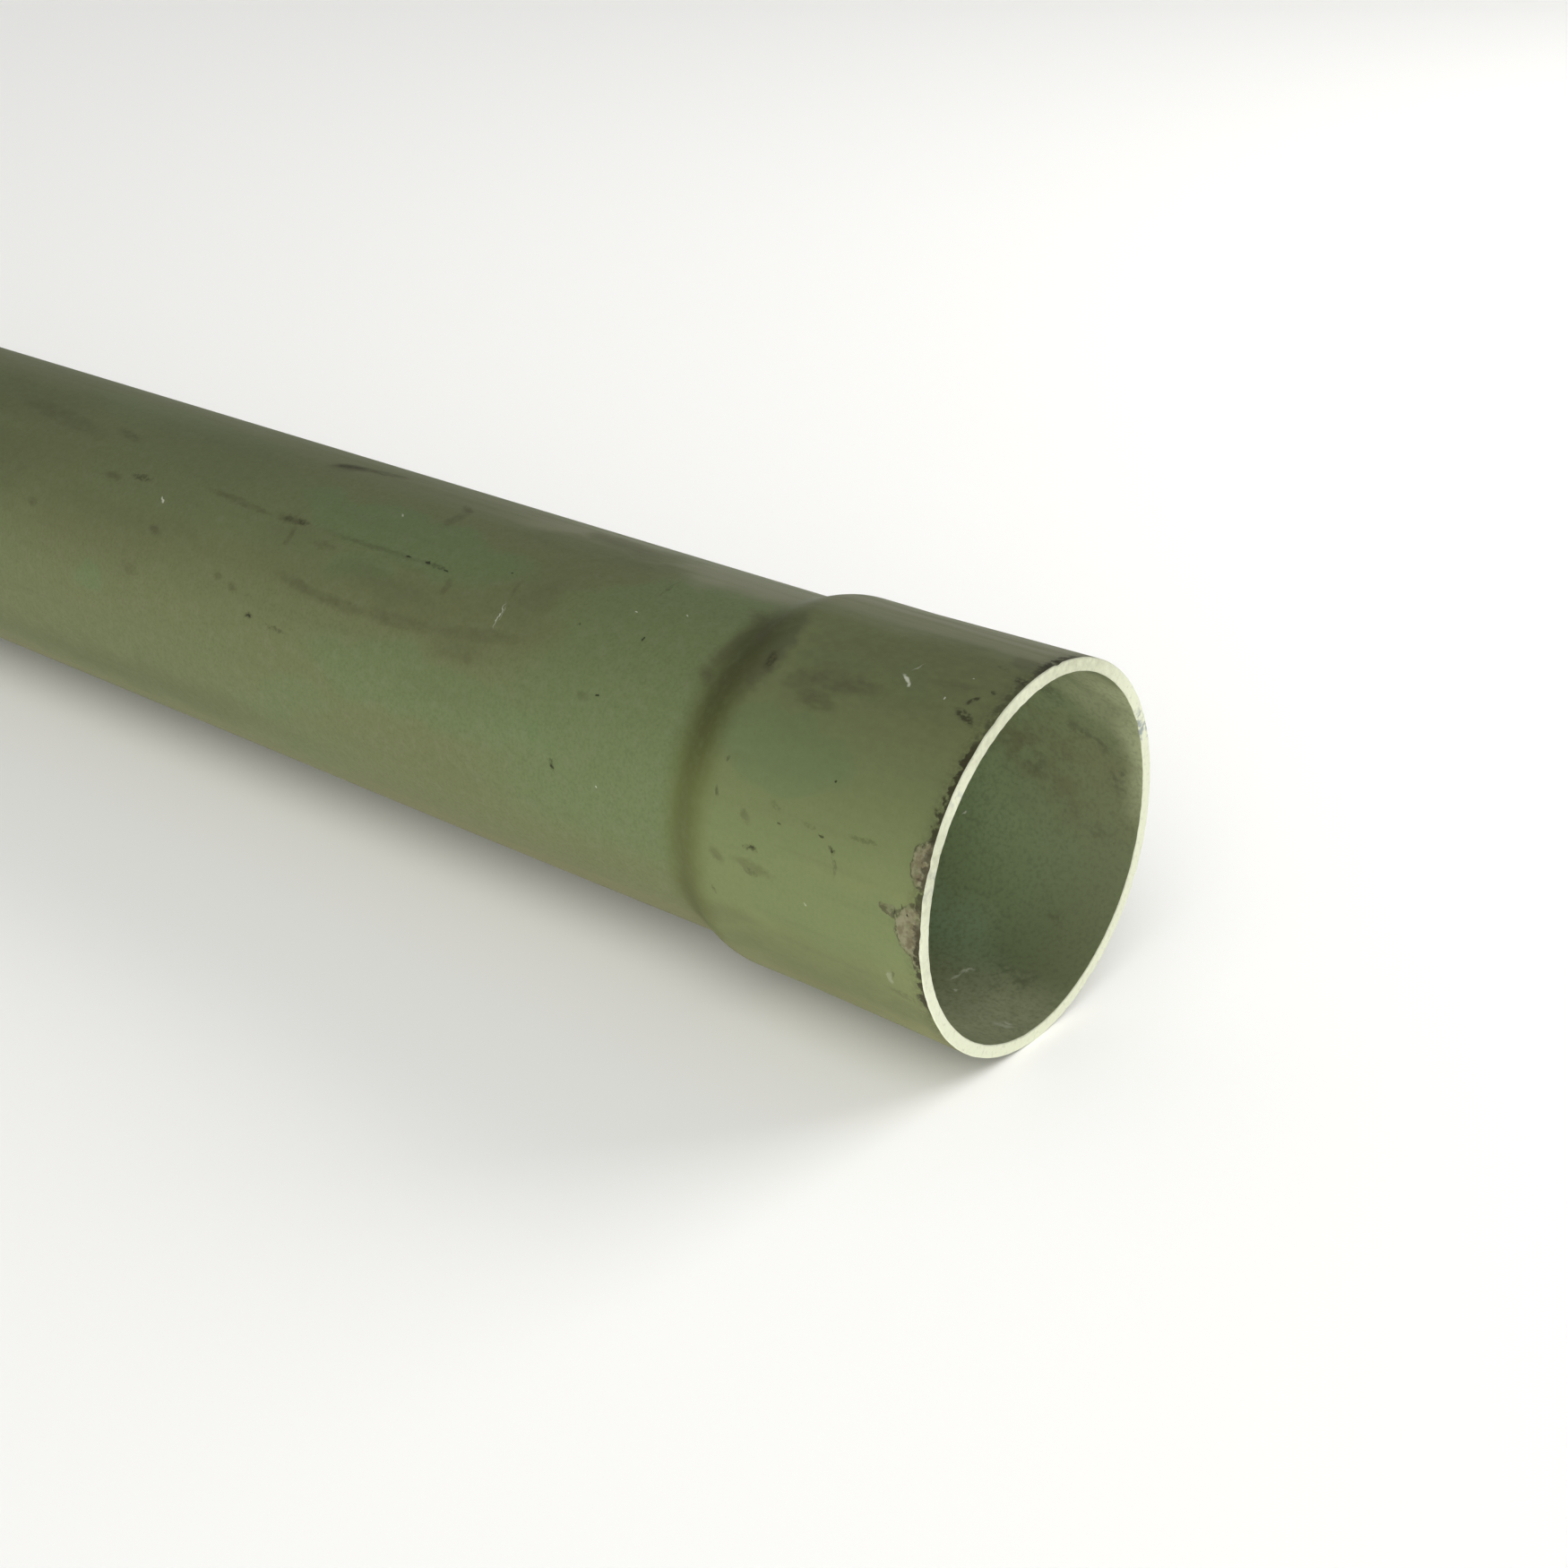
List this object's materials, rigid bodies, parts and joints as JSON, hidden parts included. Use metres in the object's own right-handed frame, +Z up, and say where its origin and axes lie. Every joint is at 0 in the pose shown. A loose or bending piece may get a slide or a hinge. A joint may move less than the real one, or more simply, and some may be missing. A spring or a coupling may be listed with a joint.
{
  "type": "belled electrical conduit pipe",
  "caption": "Straight round plastic duct for electrical cables, lying on its side, with a flared bell socket at one end and a plain spigot at the other.",
  "frame": {"origin": "on the floor, under the middle of the overall length; the bell's rim touches the floor", "axes": "+X along the pipe and out of the bell's mouth, +Z up, +Y to the left when looking along +X"},
  "size_m": [3.048, 0.1252, 0.1256],
  "materials": {
    "weathered_green_pvc": "satin, dusty and scuffed"
  },
  "bodies": {
    "root": {"conduit_pipe": "weathered_green_pvc"}
  },
  "joints": []
}
